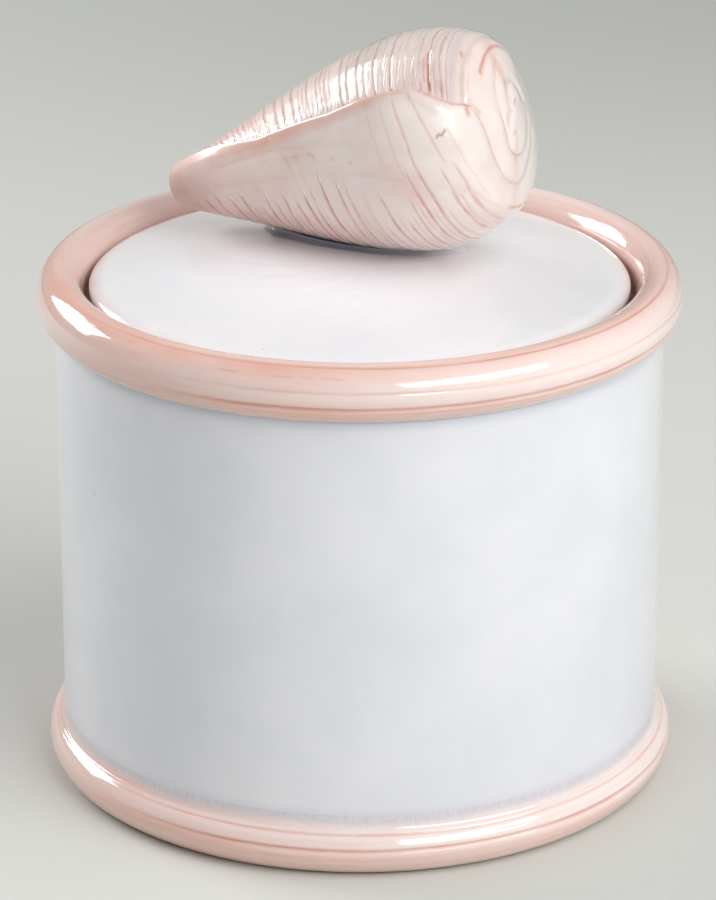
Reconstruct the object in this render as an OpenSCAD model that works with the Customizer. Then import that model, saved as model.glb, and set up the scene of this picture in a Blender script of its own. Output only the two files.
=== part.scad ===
/* [Jar] */
// Outside diameter of the jar's wall
wall_d = 156; // [140:1:180]
// Thickness of the jar's wall
wall_t = 5; // [4:0.5:7]
// Height of the jar from the foot to the crest of the rim
jar_h = 134.8; // [110:0.2:170]
// Thickness of the floor
floor_t = 6; // [4:0.5:9]
// Depth of the recess under the floor
recess_h = 4; // [2:0.5:6]
// Width of the step in the foot that carries the floor
floor_seat_w = 3; // [2:0.5:5]
// Width of the ring that the jar stands on
stand_w = 7.5; // [5:0.5:9]

/* [Rim roll] */
// Width of the roll's oval section
rim_w = 12; // [11:0.5:14]
// Height of the roll's oval section
rim_h = 14.7; // [12:0.1:18]
// How far the roll stands out past the wall
rim_out = 4.5; // [4:0.5:6]
// Depth of the flat under the roll, which sits on the wall
rim_seat_cut = 0.5; // [0.3:0.1:0.9]

/* [Foot roll] */
// Height of the foot with its fillet
foot_h = 16; // [14.5:0.5:20]
// How far the roll stands out past the wall
foot_out = 4.1; // [3.6:0.1:6]
// Width of the roll's oval section
foot_roll_w = 12; // [10:0.5:13]
// Height of the roll's oval section
foot_roll_h = 13; // [11:0.5:14]

/* [Scratched lines] */
// Depth of the lines round both rolls
line_depth = 0.45; // [0.2:0.05:0.8]
// Width of the lines round both rolls
line_w = 1.2; // [0.9:0.1:1.8]

/* [Lid] */
// Gap between the lid's edge and the rim roll
lid_gap = 1.3; // [0.8:0.1:2.4]
// How far the lid's edge lies under the crest of the rim
lid_drop = 3.5; // [2:0.5:5]
// Thickness of the lid at its edge
lid_edge_t = 6; // [5:0.5:7]
// Thickness of the lid at its crown
lid_crown_t = 5.5; // [4:0.5:7]
// Rise of the lid's dome over its edge
lid_rise = 5.7; // [3:0.1:9]
// Radius of the lid's rounded edge
lid_round = 2.2; // [1:0.1:2.5]

/* [Lid seat] */
// Width of the ledge that carries the lid
ledge_w = 8.5; // [7:0.5:11]
// Thickness of the ledge at its inner edge
ledge_t = 5; // [3:0.5:7]
// Depth of the flange that keeps the lid central
flange_h = 8; // [5:0.5:12]
// Thickness of the flange
flange_t = 3.8; // [3:0.2:5]
// Gap between the flange and the ledge
flange_gap = 0.7; // [0.4:0.1:1.5]

/* [Shell] */
// Length of the shell from its tip to the top of its spire
shell_l = 101; // [85:0.2:115]
// Mean radius of the shell's belly
belly_r = 27.8; // [23:0.2:31]
// Turn of the shell to the front, in degrees
shell_turn = 23.8; // [10:0.2:35]
// Rise of the shell from its tip, in degrees
shell_rise = 18.6; // [15:0.2:22]
// Distance of the shell's middle to the left of the lid's middle
shell_left = 5; // [1:0.1:10]
// Distance of the shell's middle behind the lid's middle
shell_back = 13.2; // [6:0.1:16]
// Depth of the flat cut in the belly
belly_cut = 0.8; // [0.5:0.1:1.2]
// Distance between the grooves round the shell
groove_pitch = 4.1; // [3.6:0.1:5]
// Width of a groove
groove_w = 1.8; // [1:0.1:2.4]
// Depth of a groove
groove_depth = 0.45; // [0.2:0.05:0.8]
// Width of a whorl on the spire
whorl_w = 6.1; // [5:0.1:8]
// Height of the swell of a whorl on the spire
whorl_swell = 0.9; // [0.4:0.1:1.5]

/* [Slip bed] */
// Thickness of the bed between the lid's crown and the shell
bed_t = 0.96; // [0.8:0.02:2]
// Length of the bed
bed_l = 57.5; // [52:0.5:64]
// Width of the bed
bed_w = 14; // [13:0.5:20]

/* [Hidden] */
$fn = 120;

// Radii and heights of the jar
wall_r = wall_d / 2;
inner_r = wall_r - wall_t;
rim_mid_r = wall_r + rim_out - rim_w / 2;
rim_mid_z = jar_h - rim_h / 2;
wall_top_z = jar_h - rim_h + rim_seat_cut;
stand_r = inner_r - floor_seat_w;

// Heights and radii of the lid and its seat
lid_r = rim_mid_r - rim_w / 2 - lid_gap;
lid_edge_z = jar_h - lid_drop;
seat_z = lid_edge_z - lid_edge_t;
crown_z = lid_edge_z + lid_rise;
ledge_r = inner_r - ledge_w;
flange_r = ledge_r - flange_gap;
bed_top_z = crown_z + bed_t;

// Angles of the scratched lines on each oval section, from straight out
rim_lines = [-21, 13, 71];
foot_lines = [12, 50];
rim_steps = 64;
foot_steps = 26;
foot_low = -72;
foot_high = 60;
arc_steps = 12;

// A smooth step from 0 to 1
function ease(x) = 0.5 - 0.5 * cos(180 * max(0, min(1, x)));

// Depth of the scratched lines at an angle of an oval section of the given size
function notch(a, size, lines) =
    line_depth * max([for (l = lines) let (off = abs(a - l) * PI / 180 * size / line_w)
        off < 1 ? 0.5 + 0.5 * cos(180 * off) : 0]);

// An arc of an oval section with its scratched lines
function oval(mid_r, mid_z, w, h, from, to, steps, lines) =
    [for (i = [0 : steps]) let (a = from + (to - from) * i / steps, in = notch(a, (w + h) / 4, lines))
        [mid_r + (w / 2 - in) * cos(a), mid_z + (h / 2 - in) * sin(a)]];

// Section of the rim roll, flat where it sits on the wall
rim_cut = asin(1 - 2 * rim_seat_cut / rim_h);
rim_section = oval(rim_mid_r, rim_mid_z, rim_w, rim_h, -rim_cut, 180 + rim_cut, rim_steps, rim_lines);

// Section of the foot: stand ring, roll, and the fillet that runs up into the wall
foot_mid_r = wall_r + foot_out - foot_roll_w / 2;
foot_mid_z = foot_roll_h / 2;
foot_arc = oval(foot_mid_r, foot_mid_z, foot_roll_w, foot_roll_h,
    foot_low, foot_high, foot_steps, foot_lines);
fillet_start = foot_arc[foot_steps];
foot_fillet = [for (i = [1 : arc_steps]) let (a = 90 * i / arc_steps)
    [wall_r + (fillet_start[0] - wall_r) * (1 - sin(a)),
     fillet_start[1] + (foot_h - fillet_start[1]) * (1 - cos(a))]];
foot_section = concat(
    [[stand_r, 0], [min(stand_r + stand_w, foot_arc[0][0]), 0]],
    foot_arc, foot_fillet,
    [[inner_r, foot_h], [inner_r, recess_h], [stand_r, recess_h]]);

// Section of the lid: domed above and below, flat where it sits on the ledge
function dome(r, reach, low, high) = high - (high - low) * pow(r / reach, 2);
lid_flat_r = lid_r - lid_round;
lid_top = [for (i = [0 : arc_steps]) let (r = lid_flat_r * i / arc_steps)
    [r, dome(r, lid_r, lid_edge_z, crown_z)]];
lid_top_end = lid_top[arc_steps];
lid_edge = [for (i = [1 : arc_steps]) let (a = 90 * i / arc_steps)
    [lid_flat_r + lid_round * sin(a), lid_top_end[1] - lid_round * (1 - cos(a))]];
lid_well_r = flange_r - flange_t;
lid_under = [for (i = [arc_steps : -1 : 0]) let (r = lid_well_r * i / arc_steps)
    [r, dome(r, lid_well_r, seat_z, crown_z - lid_crown_t)]];
lid_chamfer = lid_round / 2;
lid_section = concat(lid_top, lid_edge,
    [[lid_r, seat_z + lid_chamfer], [lid_r - lid_chamfer, seat_z]], lid_under);

// The shell's outline, as shares of its length and of its belly: place along the axis, then radius
shell_profile_shares = [[0, 0], [0.015, 0.147], [0.039, 0.21], [0.094, 0.291], [0.212, 0.438],
    [0.35, 0.617], [0.488, 0.795], [0.626, 0.933], [0.744, 1], [0.842, 0.963], [0.921, 0.852],
    [0.957, 0.716], [0.98, 0.46], [0.993, 0.23], [1, 0]];
last_station = len(shell_profile_shares) - 1;

// Places along the shell, each with the angle of the outer lip round the axis there
lip_angle_shares = [[0, 97], [0.045, 112], [0.12, 122], [0.27, 139], [0.37, 146], [0.62, 149], [0.8, 146],
    [0.86, 146], [0.94, 158], [1, 160]];

// Growth of the last whorl in one turn, its roll-in at the lip, and what is left of both on the spire
growth_share = 0.21;
roll_share = 0.03;
spire_share = 0.1;

// A point of a smooth curve through the outline's stations
function curve(p0, p1, p2, p3, x) =
    p1 + (p2 - p0) / 2 * x + (p0 - 2.5 * p1 + 2 * p2 - p3 / 2) * x * x
    + (1.5 * (p1 - p2) + (p3 - p0) / 2) * x * x * x;
function station(i) = shell_profile_shares[max(0, min(last_station, i))];
function profile(t) = let (i = min(floor(t), last_station - 1))
    curve(station(i - 1), station(i), station(i + 1), station(i + 2), t - i);

// The station whose place along the shell is x, found by halving
function find(x, low, high, n = 16) = let (mid = (low + high) / 2)
    n == 0 ? mid : profile(mid)[0] < x ? find(x, mid, high, n - 1) : find(x, low, mid, n - 1);

// Rings of the shell: station and depth of the groove there
tip_steps = 7;
tip_end = 3;
spire_start = 10.2;
spire_fade = 1.2;
spire_step = 0.2;
groove_first_share = 0.11;
groove_last_share = 0.915;
groove_n = floor((groove_last_share - groove_first_share) * shell_l / groove_pitch);
groove_low = 2.9;
groove_high = 10.2;
tip_rings = [for (i = [1 : tip_steps]) [tip_end * i / tip_steps - tip_end / tip_steps / 2, 0]];
groove_rings = [for (k = [0 : groove_n]) for (side = [-1, 0, 1])
    let (x = groove_first_share + (k * groove_pitch + side * groove_w / 2) / shell_l)
    [find(x, groove_low, groove_high), side == 0 ? groove_depth : 0]];
spire_rings = [for (t = [spire_start : spire_step : last_station - spire_step]) [t, 0]];
shell_rings = concat(tip_rings, groove_rings, spire_rings);

// Turns round the shell run from the lip (0) back round to the lip (1)
turn_steps = 60;
smooth_from = 0.84;
smooth_to = 0.9;
roll_from = 0.9;
growth_end = 0.8;
lean_turn = 0.2;
lean_stations = 0.36;
lean_first = [2, 3.5];
lean_last = [8, 10];
function growth(turn, share) = 1 + share * (growth_share * (ease(turn / growth_end) - 0.5)
    - roll_share * ease((turn - roll_from) / (1 - roll_from)));

// Relief of the spire: each whorl swells between two turns of one spiral line
suture_share = 0.673;
function swell(r, turn) = let (w = (belly_r * suture_share - r) / whorl_w - (1 - turn))
    w < 0 ? 0 : whorl_swell * (sqrt(abs(sin(180 * (w - floor(w))))) - 0.5);

// How far a groove leans along the shell beside the lip, in stations
function between(t, ends) = ease((t - ends[0]) / (ends[1] - ends[0]));
function lean(t, turn) = lean_stations * (1 - ease(turn / lean_turn))
    * between(t, lean_first) * (1 - between(t, lean_last));

// A point of the shell in its own frame, with its axis along Z
function shell_point(ring, turn) =
    let (p = profile(ring[0] + lean(ring[0], turn)), x = p[0])
    let (on_spire = ease((ring[0] - spire_start) / spire_fade))
    let (share = 1 - (1 - spire_share) * on_spire)
    let (in = ring[1] * (1 - ease((turn - smooth_from) / (smooth_to - smooth_from))))
    let (r = belly_r * p[1] * growth(turn, share) - in)
    let (a = lookup(x, lip_angle_shares) - 360 * turn)
    [r * cos(a), r * sin(a), shell_l * x + on_spire * swell(r, turn)];

// The shell's own axes, turned to the front and lifted at the spire
axis_dir = [cos(shell_rise) * cos(shell_turn), -cos(shell_rise) * sin(shell_turn), sin(shell_rise)];
back_dir = [sin(shell_turn), cos(shell_turn), 0];
up_dir = cross(axis_dir, back_dir);
function lay(p) = p[0] * back_dir + p[1] * up_dir + p[2] * axis_dir;

// The shell laid down, then set so that its belly is cut flat at the top of the bed
shell_laid = concat(
    [lay([0, 0, 0])],
    [for (ring = shell_rings) for (j = [0 : turn_steps]) lay(shell_point(ring, j / turn_steps))],
    [lay([0, 0, shell_l + swell(0, 0)])]);
shell_low = min([for (p = shell_laid) p[2]]);
shell_mid = lay([0, 0, shell_l / 2]);
shell_shift = [-shell_left - shell_mid[0], shell_back - shell_mid[1], bed_top_z - belly_cut - shell_low];
shell_points = [for (p = shell_laid) let (q = p + shell_shift) [q[0], q[1], max(q[2], bed_top_z)]];
turn_n = turn_steps + 1;
ring_n = len(shell_rings);
function ring_at(i, j) = 1 + i * turn_n + j % turn_n;
shell_faces = concat(
    [for (j = [0 : turn_n - 1]) [0, ring_at(0, j + 1), ring_at(0, j)]],
    [for (i = [0 : ring_n - 2]) for (j = [0 : turn_n - 1]) for (half = [0, 1]) half == 0
        ? [ring_at(i, j), ring_at(i + 1, j + 1), ring_at(i + 1, j)]
        : [ring_at(i, j), ring_at(i, j + 1), ring_at(i + 1, j + 1)]],
    [for (j = [0 : turn_n - 1]) [1 + ring_n * turn_n, ring_at(ring_n - 1, j), ring_at(ring_n - 1, j + 1)]]);

// Outline of the bed: an egg shape under the belly, in line with the shell
bed_egg_share = 0.12;
bed_along_share = 0.08;
bed_across_share = -0.03;
bed_steps = 48;
bed_outline = [for (i = [0 : bed_steps - 1]) let (a = 360 * i / bed_steps)
    [bed_l / 2 * cos(a), bed_w / 2 * sin(a) * (1 + bed_egg_share * cos(a))]];
bed_place = [bed_l * bed_along_share, bed_w * bed_across_share, 0];
overrun = 1;

module revolve(section) {
    rotate_extrude() polygon(section);
}

module ring(outer_r, bore_r, low, high) {
    translate([0, 0, low]) difference() {
        cylinder(r = outer_r, h = high - low);
        translate([0, 0, -overrun]) cylinder(r = bore_r, h = high - low + 2 * overrun);
    }
}

module jar_floor() {
    color("whitesmoke") translate([0, 0, recess_h]) cylinder(r = inner_r, h = floor_t);
}

module foot_roll() {
    color([0.92, 0.78, 0.73]) revolve(foot_section);
}

module jar_wall() {
    color("whitesmoke") ring(wall_r, inner_r, foot_h, wall_top_z);
}

module rim_roll() {
    color([0.92, 0.76, 0.7]) revolve(rim_section);
}

module lid_ledge() {
    color("white") rotate_extrude() difference() {
        polygon([[ledge_r, seat_z], [ledge_r, seat_z - ledge_t], [inner_r, seat_z - ledge_t - ledge_w],
            [inner_r, wall_top_z], [rim_mid_r, wall_top_z], [rim_mid_r, seat_z]]);
        polygon(rim_section);
    }
}

module lid_disc() {
    color("white") revolve(lid_section);
}

module lid_flange() {
    color("white") ring(flange_r, flange_r - flange_t, seat_z - flange_h, seat_z);
}

module finial_bed() {
    color([0.85, 0.87, 0.9]) difference() {
        translate([-shell_left, shell_back, seat_z]) rotate([0, 0, -shell_turn]) translate(bed_place)
            linear_extrude(bed_top_z - seat_z) polygon(bed_outline);
        revolve(lid_section);
        translate([0, 0, seat_z - overrun]) cylinder(r = lid_r, h = crown_z - lid_crown_t - seat_z + overrun);
    }
}

module shell_finial() {
    color([0.93, 0.82, 0.77]) polyhedron(shell_points, shell_faces);
}

jar_floor();
foot_roll();
jar_wall();
rim_roll();
lid_ledge();
lid_disc();
lid_flange();
finial_bed();
shell_finial();
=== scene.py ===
import bpy
import math
from bisect import bisect_left
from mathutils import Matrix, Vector
from mathutils.kdtree import KDTree


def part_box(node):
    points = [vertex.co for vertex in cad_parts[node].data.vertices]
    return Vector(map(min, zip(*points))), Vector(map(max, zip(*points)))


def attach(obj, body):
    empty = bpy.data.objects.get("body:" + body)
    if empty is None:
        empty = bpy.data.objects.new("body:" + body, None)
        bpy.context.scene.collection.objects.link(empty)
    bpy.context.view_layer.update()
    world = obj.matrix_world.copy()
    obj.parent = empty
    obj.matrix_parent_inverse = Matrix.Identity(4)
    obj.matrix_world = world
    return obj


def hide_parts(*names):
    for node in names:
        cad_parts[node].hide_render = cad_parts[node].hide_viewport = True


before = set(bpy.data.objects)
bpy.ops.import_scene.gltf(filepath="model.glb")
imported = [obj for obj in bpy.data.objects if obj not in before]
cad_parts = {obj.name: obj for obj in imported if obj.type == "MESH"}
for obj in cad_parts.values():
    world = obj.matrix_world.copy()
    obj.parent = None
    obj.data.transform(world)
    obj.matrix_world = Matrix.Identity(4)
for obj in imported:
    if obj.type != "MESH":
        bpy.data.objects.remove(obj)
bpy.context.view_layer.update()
scene = bpy.context.scene
mm = 0.001


# Small helpers for curves and colours
def ease(x):
    return 0.5 - 0.5 * math.cos(math.pi * max(0.0, min(1.0, x)))


def between(x, low, high):
    return ease((x - low) / (high - low))


def bump(x, width):
    return math.exp(-(x / width) ** 2)


def wander(x, seed):
    # A slow, smooth wave between -1 and 1, different for every seed
    return (0.5 * math.sin(1.7 * x + 2.3 * seed) + 0.3 * math.sin(3.9 * x + 5.1 * seed)
            + 0.2 * math.sin(8.3 * x + 1.7 * seed))


def signed(degrees):
    return (degrees + 180) % 360 - 180


def readTable(x, table):
    # Straight lines between the pairs of a table
    if x <= table[0][0]:
        return table[0][1]
    for (x0, y0), (x1, y1) in zip(table, table[1:]):
        if x <= x1:
            return y0 + (y1 - y0) * (x - x0) / (x1 - x0)
    return table[-1][1]


def glazeColour(red, green, blue):
    # Screen values from 0 to 255 to the linear colour that the shader wants
    def linear(value):
        share = value / 255
        return share / 12.92 if share <= 0.04045 else ((share + 0.055) / 1.055) ** 2.4
    return (linear(red), linear(green), linear(blue), 1.0)


# Camera
cameraSettings = {
    "place": (0.0, -1.0279, 0.4840),
    "tilt": 68.96,
    "lens": 170.02,
    "sensor": 36.0,
    "shift": (-0.002, -0.02264),
    "clip": 0.05,
}


def makeCamera(settings):
    data = bpy.data.cameras.new("photoCamera")
    data.lens = settings["lens"]
    data.sensor_width = settings["sensor"]
    data.shift_x, data.shift_y = settings["shift"]
    data.clip_start = settings["clip"]
    camera = bpy.data.objects.new("photoCamera", data)
    camera.location = settings["place"]
    camera.rotation_euler = (math.radians(settings["tilt"]), 0, 0)
    scene.collection.objects.link(camera)
    scene.camera = camera


makeCamera(cameraSettings)
print("camera set")


# Node tools
def addNode(tree, kind, **settings):
    node = tree.nodes.new(kind)
    for key, value in settings.items():
        setattr(node, key, value)
    return node


def plug(tree, source, target):
    # A socket is linked, and a plain value is set
    if isinstance(source, bpy.types.NodeSocket):
        tree.links.new(source, target)
    else:
        target.default_value = source


def calc(tree, operation, first, second=0.0, third=0.0, clamp=False):
    node = addNode(tree, "ShaderNodeMath", operation=operation, use_clamp=clamp)
    for source, target in zip((first, second, third), node.inputs):
        plug(tree, source, target)
    return node.outputs[0]


def calcVector(tree, operation, first, second=(0.0, 0.0, 0.0)):
    node = addNode(tree, "ShaderNodeVectorMath", operation=operation)
    plug(tree, first, node.inputs[0])
    plug(tree, second, node.inputs[1])
    return node.outputs[0]


def spread(tree, value, low, high, toLow=0.0, toHigh=1.0):
    node = addNode(tree, "ShaderNodeMapRange", interpolation_type="SMOOTHSTEP")
    for source, target in zip((value, low, high, toLow, toHigh), node.inputs):
        plug(tree, source, target)
    return node.outputs[0]


def blendColour(tree, share, under, over):
    # Lays one colour over another: each is a socket or three screen values
    node = addNode(tree, "ShaderNodeMix", data_type="RGBA")
    plug(tree, share, node.inputs[0])
    for colour, target in ((under, node.inputs[6]), (over, node.inputs[7])):
        plug(tree, glazeColour(*colour) if isinstance(colour, tuple) else colour, target)
    return node.outputs[2]


def noise(tree, vector, scale, detail=3.0, roughness=0.5):
    node = addNode(tree, "ShaderNodeTexNoise")
    for name, source in (("Vector", vector), ("Scale", scale), ("Detail", detail), ("Roughness", roughness)):
        plug(tree, source, node.inputs[name])
    return node.outputs[0]


def axisOf(tree, vector, axis):
    apart = addNode(tree, "ShaderNodeSeparateXYZ")
    plug(tree, vector, apart.inputs[0])
    return apart.outputs[axis]


def flatten(tree, vector):
    return calcVector(tree, "MULTIPLY", vector, (1.0, 1.0, 0.0))


def lengthOf(tree, vector):
    node = addNode(tree, "ShaderNodeVectorMath", operation="LENGTH")
    plug(tree, vector, node.inputs[0])
    return node.outputs["Value"]


def sharpen(tree, value, contrast, reach):
    # Spreads the values around a half
    reach = calc(tree, "DIVIDE", reach, contrast)
    return spread(tree, value, calc(tree, "SUBTRACT", 0.5, reach), calc(tree, "ADD", 0.5, reach))


def socketName(key):
    # fineScale stands for the socket Fine Scale
    return "".join(" " + letter if letter.isupper() else letter for letter in key).title()


def startGroup(name, output, **inputs):
    # A group with a vector, some values and one output
    tree = bpy.data.node_groups.new(name, "ShaderNodeTree")
    tree.interface.new_socket("Vector", in_out="INPUT", socket_type="NodeSocketVector")
    for key, value in inputs.items():
        socket = tree.interface.new_socket(socketName(key), in_out="INPUT", socket_type="NodeSocketFloat")
        socket.default_value = value
    tree.interface.new_socket(output, in_out="OUTPUT", socket_type="NodeSocketFloat")
    return tree, addNode(tree, "NodeGroupInput").outputs, addNode(tree, "NodeGroupOutput").inputs[0]


# Soft clouds in the glaze, from 0 to 1
def makeClouds():
    tree, given, result = startGroup("Glaze Clouds", "Clouds", scale=30.0, contrast=1.0)
    broad = noise(tree, given["Vector"], given["Scale"], detail=4.0, roughness=0.55)
    plug(tree, sharpen(tree, broad, given["Contrast"], reach=0.25), result)
    return tree


# The uneven skin of a fired glaze, as a height
def makeRipple():
    tree, given, result = startGroup("Glaze Ripple", "Height", broadScale=60.0, fineScale=600.0, fineShare=0.2)
    broad = noise(tree, given["Vector"], given["Broad Scale"], detail=2.0)
    fine = noise(tree, given["Vector"], given["Fine Scale"], detail=2.0)
    plug(tree, calc(tree, "MULTIPLY_ADD", fine, given["Fine Share"], broad), result)
    return tree


# Streaks of a brush that goes round the jar, from 0 to 1
def makeRingBrush():
    tree, given, result = startGroup("Ring Brush", "Streaks", turns=3.0, fineness=500.0, contrast=1.0)
    flat = flatten(tree, given["Vector"])
    turns = addNode(tree, "ShaderNodeVectorMath", operation="SCALE")
    plug(tree, calcVector(tree, "NORMALIZE", flat), turns.inputs[0])
    plug(tree, given["Turns"], turns.inputs["Scale"])
    radiusShare = 0.8
    across = calc(tree, "MULTIPLY_ADD", lengthOf(tree, flat), radiusShare, axisOf(tree, given["Vector"], 2))
    lift = addNode(tree, "ShaderNodeCombineXYZ")
    plug(tree, calc(tree, "MULTIPLY", across, given["Fineness"]), lift.inputs[2])
    place = calcVector(tree, "ADD", turns.outputs[0], lift.outputs[0])
    streaks = noise(tree, place, scale=1.0, detail=5.0, roughness=0.62)
    plug(tree, sharpen(tree, streaks, given["Contrast"], reach=0.22), result)
    return tree


# Fine dark specks from the clay, from 0 to 1
def makeSpecks():
    tree, given, result = startGroup("Clay Specks", "Specks", scale=260.0, size=0.12, share=0.2)
    cells = addNode(tree, "ShaderNodeTexVoronoi")
    plug(tree, given["Vector"], cells.inputs["Vector"])
    plug(tree, given["Scale"], cells.inputs["Scale"])
    edge = calc(tree, "MULTIPLY", given["Size"], 0.5)
    dot = spread(tree, cells.outputs["Distance"], edge, given["Size"], toLow=1.0, toHigh=0.0)
    colour = addNode(tree, "ShaderNodeSeparateColor")
    plug(tree, cells.outputs["Color"], colour.inputs[0])
    chosen = calc(tree, "LESS_THAN", colour.outputs[0], given["Share"])
    plug(tree, calc(tree, "MULTIPLY", dot, calc(tree, "MULTIPLY", chosen, colour.outputs[1])), result)
    return tree


# Short upright runs where the glaze pools, from 0 to 1
def makeRuns():
    tree, given, result = startGroup("Glaze Runs", "Runs", scale=1200.0, stretch=0.4)
    squeeze = addNode(tree, "ShaderNodeCombineXYZ")
    for source, target in zip((1.0, 1.0, given["Stretch"]), squeeze.inputs):
        plug(tree, source, target)
    drawn = calcVector(tree, "MULTIPLY", given["Vector"], squeeze.outputs[0])
    streaks = noise(tree, drawn, given["Scale"], detail=3.0, roughness=0.6)
    plug(tree, spread(tree, streaks, low=0.34, high=0.66), result)
    return tree


clouds = makeClouds()
ripple = makeRipple()
ringBrush = makeRingBrush()
specks = makeSpecks()
runs = makeRuns()
print("node groups made:", len(bpy.data.node_groups))


def useGroup(tree, group, vector, **values):
    node = addNode(tree, "ShaderNodeGroup", node_tree=group)
    plug(tree, vector, node.inputs["Vector"])
    for key, value in values.items():
        plug(tree, value, node.inputs[socketName(key)])
    return node.outputs[0]


def readMask(tree, name, output="Fac"):
    return addNode(tree, "ShaderNodeAttribute", attribute_type="GEOMETRY", attribute_name=name).outputs[output]


def startGlaze(name, finish):
    # A new material, with clouds that blend its colours where it has two
    material = bpy.data.materials.new(name)
    material.use_nodes = True
    tree = material.node_tree
    for socket, key in (("IOR", "ior"), ("Coat Weight", "coat"), ("Coat Roughness", "coatRoughness")):
        tree.nodes["Principled BSDF"].inputs[socket].default_value = finish[key]
    vector = addNode(tree, "ShaderNodeTexCoord").outputs["Object"]
    cloudy = useGroup(tree, clouds, vector, **finish["clouds"])
    colours = finish["colours"]
    colour = blendColour(tree, cloudy, *colours) if len(colours) == 2 else colours[0]
    return material, tree, vector, cloudy, colour


def finishGlaze(material, vector, finish, colour, waves, dull=None, grain=None):
    # The last steps of every glaze: its specks, its roughness, where it is dull, and its skin
    tree = material.node_tree
    inputs = tree.nodes["Principled BSDF"].inputs
    marks = useGroup(tree, specks, vector, **finish["specks"])
    colour = blendColour(tree, calc(tree, "MULTIPLY", marks, finish["speckStrength"]), colour, finish["speck"])
    plug(tree, colour, inputs["Base Color"])
    roughness = spread(tree, waves, 0.0, 1.0, *finish["roughness"])
    if dull is not None:
        coat = calc(tree, "MULTIPLY_ADD", dull, finish["dullCoat"], finish["coat"], clamp=True)
        plug(tree, coat, inputs["Coat Weight"])
        roughness = calc(tree, "MULTIPLY_ADD", dull, finish["dullRoughness"], roughness)
    plug(tree, roughness, inputs["Roughness"])
    height = useGroup(tree, ripple, vector, **finish["skin"])
    if grain is not None:
        height = calc(tree, "MULTIPLY_ADD", grain, finish["grain"], height)
    lift = addNode(tree, "ShaderNodeBump")
    lift.inputs["Strength"].default_value, lift.inputs["Distance"].default_value = finish["bump"]
    plug(tree, height, lift.inputs["Height"])
    plug(tree, lift.outputs[0], inputs["Normal"])
    return material


# White glaze of the wall, the floor and the flange: lilac above the foot, and under the rim a painted shade that
# is partly pooled glaze
wallGlaze = {
    "ior": 1.5, "coat": 0.35, "coatRoughness": 0.03, "roughness": (0.16, 0.24),
    "clouds": {"scale": 26.0, "contrast": 1.1}, "colours": ((228, 228, 231), (219, 220, 226)),
    "lilac": (206, 202, 212), "lilacHeights": (0.0148, 0.0186, 0.6, 0.0),
    "poolAndShade": (196, 203, 213), "poolAndShadeHeights": (0.1168, 0.1202, 0.0, 0.7),
    "specks": {"scale": 150.0, "size": 0.1, "share": 0.06}, "speckStrength": 0.35, "speck": (176, 158, 140),
    "skin": {"broadScale": 45.0, "fineScale": 500.0, "fineShare": 0.06}, "bump": (0.5, 0.0006),
}


def makeWallGlaze(settings):
    material, tree, vector, cloudy, colour = startGlaze("wallGlaze", settings)
    height = axisOf(tree, vector, 2)
    # The band under the rim is painted shade, partly the glaze pooling there
    for tone in ("lilac", "poolAndShade"):
        colour = blendColour(tree, spread(tree, height, *settings[tone + "Heights"]), colour, settings[tone])
    return finishGlaze(material, vector, settings, colour, cloudy)


# White glaze of the lid: whiter in the middle as painted light against the shell's shade, warmer in patches along
# the edge
lidGlaze = {
    "ior": 1.5, "coat": 0.4, "coatRoughness": 0.03, "roughness": (0.14, 0.22),
    "clouds": {"scale": 32.0, "contrast": 1.2}, "colours": ((237, 234, 234), (230, 230, 233)),
    "middle": (248, 248, 251), "paintedLightRadii": (0.02, 0.062, 0.85, 0.0),
    "edge": (236, 216, 209), "edgeRadii": (0.0655, 0.0685, 0.0, 0.7),
    "edgePatches": {"scale": 90.0, "contrast": 1.5},
    "specks": {"scale": 210.0, "size": 0.11, "share": 0.1}, "speckStrength": 0.45, "speck": (160, 142, 132),
    "skin": {"broadScale": 60.0, "fineScale": 700.0, "fineShare": 0.08}, "bump": (0.5, 0.0005),
}


def makeLidGlaze(settings):
    material, tree, vector, cloudy, colour = startGlaze("lidGlaze", settings)
    radius = lengthOf(tree, flatten(tree, vector))
    # Painted light: the middle is whitened against the shade and pink bounce of the shell
    colour = blendColour(tree, spread(tree, radius, *settings["paintedLightRadii"]), colour, settings["middle"])
    patchy = useGroup(tree, clouds, vector, **settings["edgePatches"])
    near = calc(tree, "MULTIPLY", spread(tree, radius, *settings["edgeRadii"]), patchy)
    colour = blendColour(tree, near, colour, settings["edge"])
    return finishGlaze(material, vector, settings, colour, cloudy)


# Pink wash of the two rolls, brushed on as they turned
rollGlaze = {
    "ior": 1.5, "coat": 0.5, "coatRoughness": 0.03, "roughness": (0.07, 0.15),
    "clouds": {"scale": 24.0, "contrast": 1.0}, "colours": ((238, 226, 221),),
    "broadBrush": {"turns": 1.6, "fineness": 300.0, "contrast": 1.0},
    "fineBrush": {"turns": 5.0, "fineness": 1500.0, "contrast": 0.9}, "broadShare": 0.65, "fineShare": 0.35,
    "pink": (228, 176, 159), "washRange": (0.55, 0.7), "washLeast": 0.12,
    "deep": (214, 140, 120), "lineRange": (0.5, 0.6), "grain": 0.06,
    "specks": {"scale": 240.0, "size": 0.1, "share": 0.06}, "speckStrength": 0.4, "speck": (150, 120, 100),
    "skin": {"broadScale": 70.0, "fineScale": 600.0, "fineShare": 0.06}, "bump": (0.5, 0.0005),
    # Where the wall's glaze pools over the foot, and where the wash thins out above the stand to a dry cream that
    # is darkened as painted contact shade
    "pool": {
        "lilac": (204, 198, 204), "white": (214, 209, 213), "wall": (215, 211, 219), "dryCreamAndShade": (206, 188, 168),
        "runs": {"scale": 1300.0, "stretch": 0.35}, "shake": 0.0009, "start": (0.0124, 0.0146),
        "wallStart": (0.0148, 0.0162, 0.0, 0.8), "dry": (0.0006, 0.0018, 0.85, 0.0),
    },
}


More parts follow.
